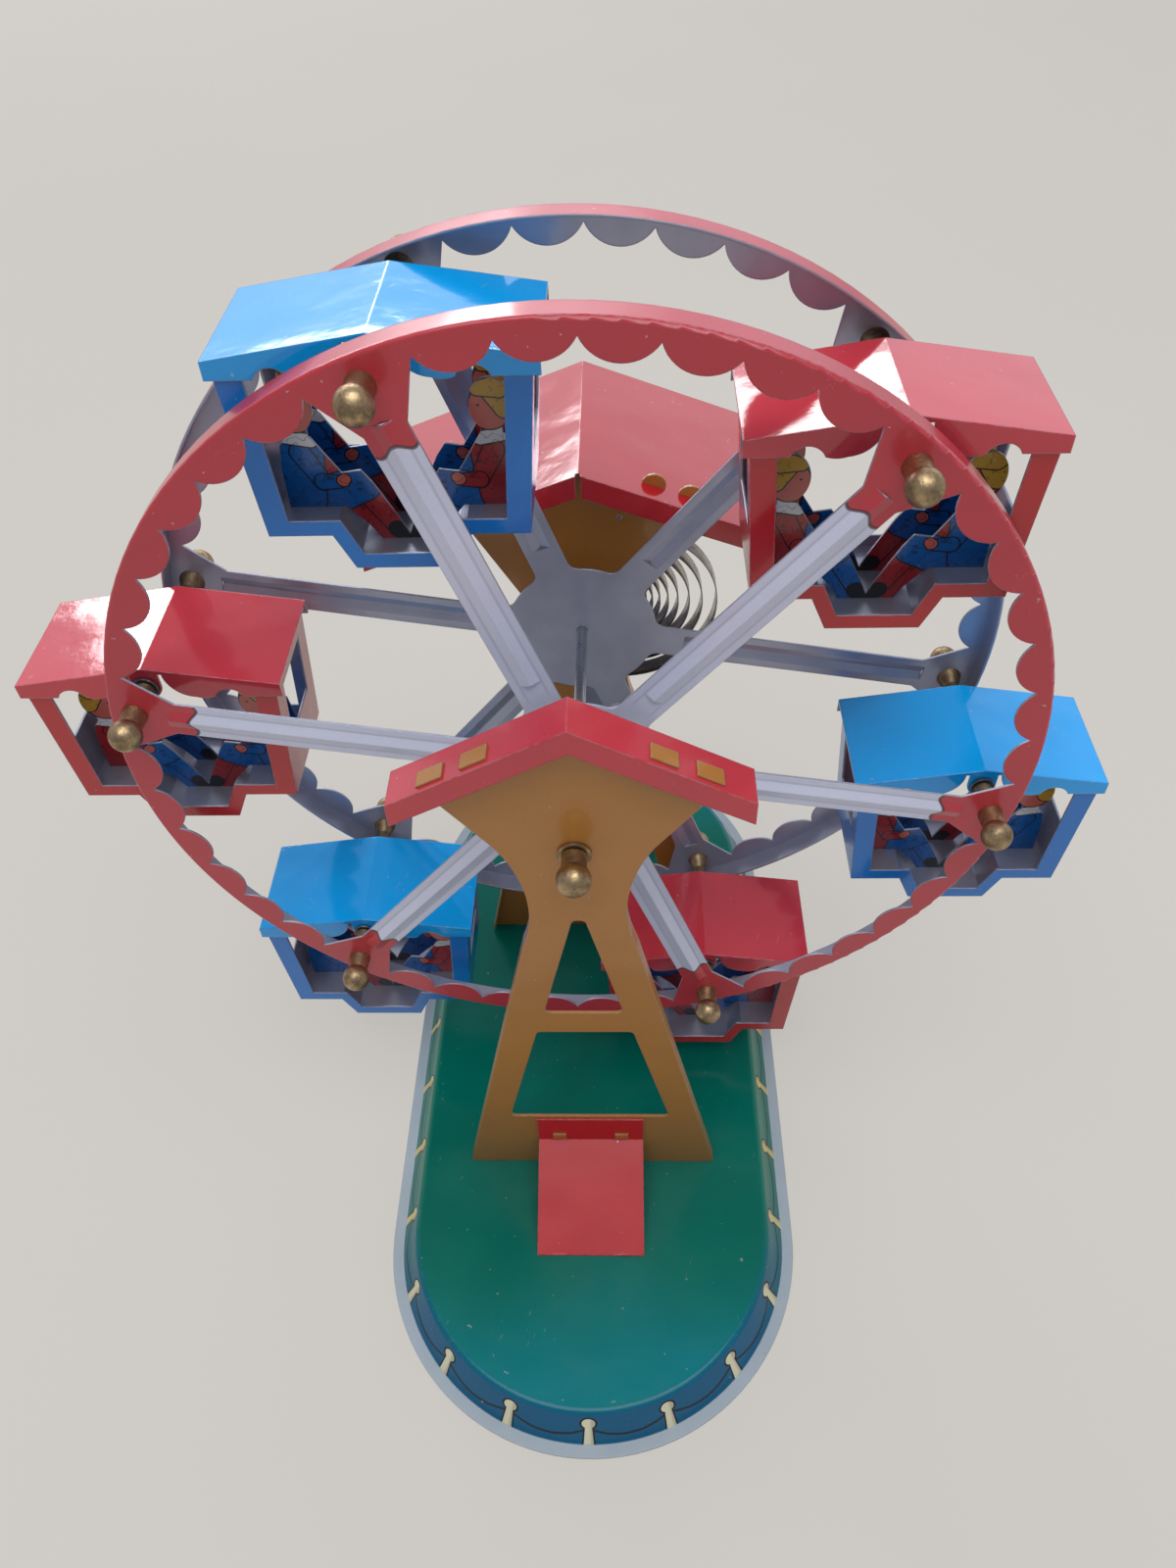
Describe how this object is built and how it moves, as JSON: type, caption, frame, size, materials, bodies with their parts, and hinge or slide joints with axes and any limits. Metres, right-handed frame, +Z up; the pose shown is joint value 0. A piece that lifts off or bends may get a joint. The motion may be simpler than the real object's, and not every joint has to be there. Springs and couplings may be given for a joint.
{
  "type": "wind-up ferris wheel toy",
  "caption": "Lithographed tin ferris wheel toy: a two-disc wheel with free-hanging gondolas between two gabled towers on a long base, driven by a hand-wound spring.",
  "frame": {"origin": "on the floor, under the middle of the base and of the wheel", "axes": "+X to the right along the wheel's plane, +Y from the small front tower to the motor at the back, +Z up"},
  "size_m": [0.274, 0.2768, 0.281],
  "materials": {
    "green_base_print": "gloss lithographed tin",
    "ochre_print": "gloss lithographed tin",
    "red_print": "gloss lithographed tin",
    "blue_print": "gloss lithographed tin",
    "wheel_print": "gloss lithographed tin, red rim and grey spokes",
    "rider_print": "gloss lithographed tin, printed figures",
    "brass": "aged turned brass",
    "bright_steel": "bright steel",
    "spring_steel": "bright spring strip",
    "knob_plastic": "gloss"
  },
  "bodies": {
    "base": {"base_shell": "green_base_print", "front_tower": "ochre_print", "front_roof": "red_print", "entrance_ramp": "red_print", "rear_tower": "ochre_print", "tower_back_plate": "ochre_print", "rear_roof": "red_print", "motor_plate": "bright_steel", "motor_pillars": "bright_steel", "mainspring": "spring_steel", "tower_bushes": "brass"},
    "wheel": {"wheel_front": "wheel_print", "wheel_rear": "wheel_print", "wheel_axle": "bright_steel", "axle_knob": "brass", "hub_collars": "brass", "front_pins": "brass", "rear_pins": "brass", "axle_pinion": "brass"},
    "drive": {"great_gear": "brass", "click_stud": "bright_steel"},
    "click": {"click": "bright_steel"},
    "winder": {"winding_arbor": "bright_steel", "ratchet_wheel": "bright_steel", "crank_arm": "bright_steel", "crank_pin": "bright_steel"},
    "crank_knob": {"crank_knob": "knob_plastic"},
    "gondola_1": {"gondola_1_body": "blue_print", "gondola_1_roof": "blue_print", "gondola_1_riders": "rider_print", "gondola_1_washers": "bright_steel"},
    "gondola_2": {"gondola_2_body": "red_print", "gondola_2_roof": "red_print", "gondola_2_riders": "rider_print", "gondola_2_washers": "bright_steel"},
    "gondola_3": {"gondola_3_body": "blue_print", "gondola_3_roof": "blue_print", "gondola_3_riders": "rider_print", "gondola_3_washers": "bright_steel"},
    "gondola_4": {"gondola_4_body": "red_print", "gondola_4_roof": "red_print", "gondola_4_riders": "rider_print", "gondola_4_washers": "bright_steel"},
    "gondola_5": {"gondola_5_body": "blue_print", "gondola_5_roof": "blue_print", "gondola_5_riders": "rider_print", "gondola_5_washers": "bright_steel"},
    "gondola_6": {"gondola_6_body": "red_print", "gondola_6_roof": "red_print", "gondola_6_riders": "rider_print", "gondola_6_washers": "bright_steel"}
  },
  "joints": [
    {"name": "wheel_spin", "type": "hinge", "parent": "base", "child": "wheel", "pos_m": [0, 0, 0.169], "axis": [0, 1, 0], "continuous": true},
    {"name": "gondola_1_hang", "type": "hinge", "parent": "wheel", "child": "gondola_1", "pos_m": [0.10439, 0, 0.15059], "axis": [0, 1, 0], "continuous": true},
    {"name": "gondola_2_hang", "type": "hinge", "parent": "wheel", "child": "gondola_2", "pos_m": [0.06814, 0, 0.2502], "axis": [0, 1, 0], "continuous": true},
    {"name": "gondola_3_hang", "type": "hinge", "parent": "wheel", "child": "gondola_3", "pos_m": [-0.03625, 0, 0.26861], "axis": [0, 1, 0], "continuous": true},
    {"name": "gondola_4_hang", "type": "hinge", "parent": "wheel", "child": "gondola_4", "pos_m": [-0.10439, 0, 0.18741], "axis": [0, 1, 0], "continuous": true},
    {"name": "gondola_5_hang", "type": "hinge", "parent": "wheel", "child": "gondola_5", "pos_m": [-0.06814, 0, 0.0878], "axis": [0, 1, 0], "continuous": true},
    {"name": "gondola_6_hang", "type": "hinge", "parent": "wheel", "child": "gondola_6", "pos_m": [0.03625, 0, 0.06939], "axis": [0, 1, 0], "continuous": true},
    {"name": "drive_spin", "type": "hinge", "parent": "base", "child": "drive", "pos_m": [0.00753, 0, 0.16168], "axis": [0, 1, 0], "continuous": true},
    {"name": "click_lift", "type": "hinge", "parent": "drive", "child": "click", "pos_m": [0.00918, 0, 0.16786], "axis": [0, 1, 0], "range_deg": [0, 15]},
    {"name": "crank_turn", "type": "hinge", "parent": "base", "child": "winder", "pos_m": [0.00753, 0, 0.16168], "axis": [0, 1, 0], "continuous": true},
    {"name": "crank_knob_spin", "type": "hinge", "parent": "winder", "child": "crank_knob", "pos_m": [0.00753, 0, 0.13968], "axis": [0, 1, 0], "continuous": true}
  ],
  "couplings": [
    {"joint": "gondola_1_hang", "follows": "wheel_spin", "ratio": -1},
    {"joint": "gondola_2_hang", "follows": "wheel_spin", "ratio": -1},
    {"joint": "gondola_3_hang", "follows": "wheel_spin", "ratio": -1},
    {"joint": "gondola_4_hang", "follows": "wheel_spin", "ratio": -1},
    {"joint": "gondola_5_hang", "follows": "wheel_spin", "ratio": -1},
    {"joint": "gondola_6_hang", "follows": "wheel_spin", "ratio": -1},
    {"joint": "drive_spin", "follows": "wheel_spin", "ratio": -0.3125}
  ]
}
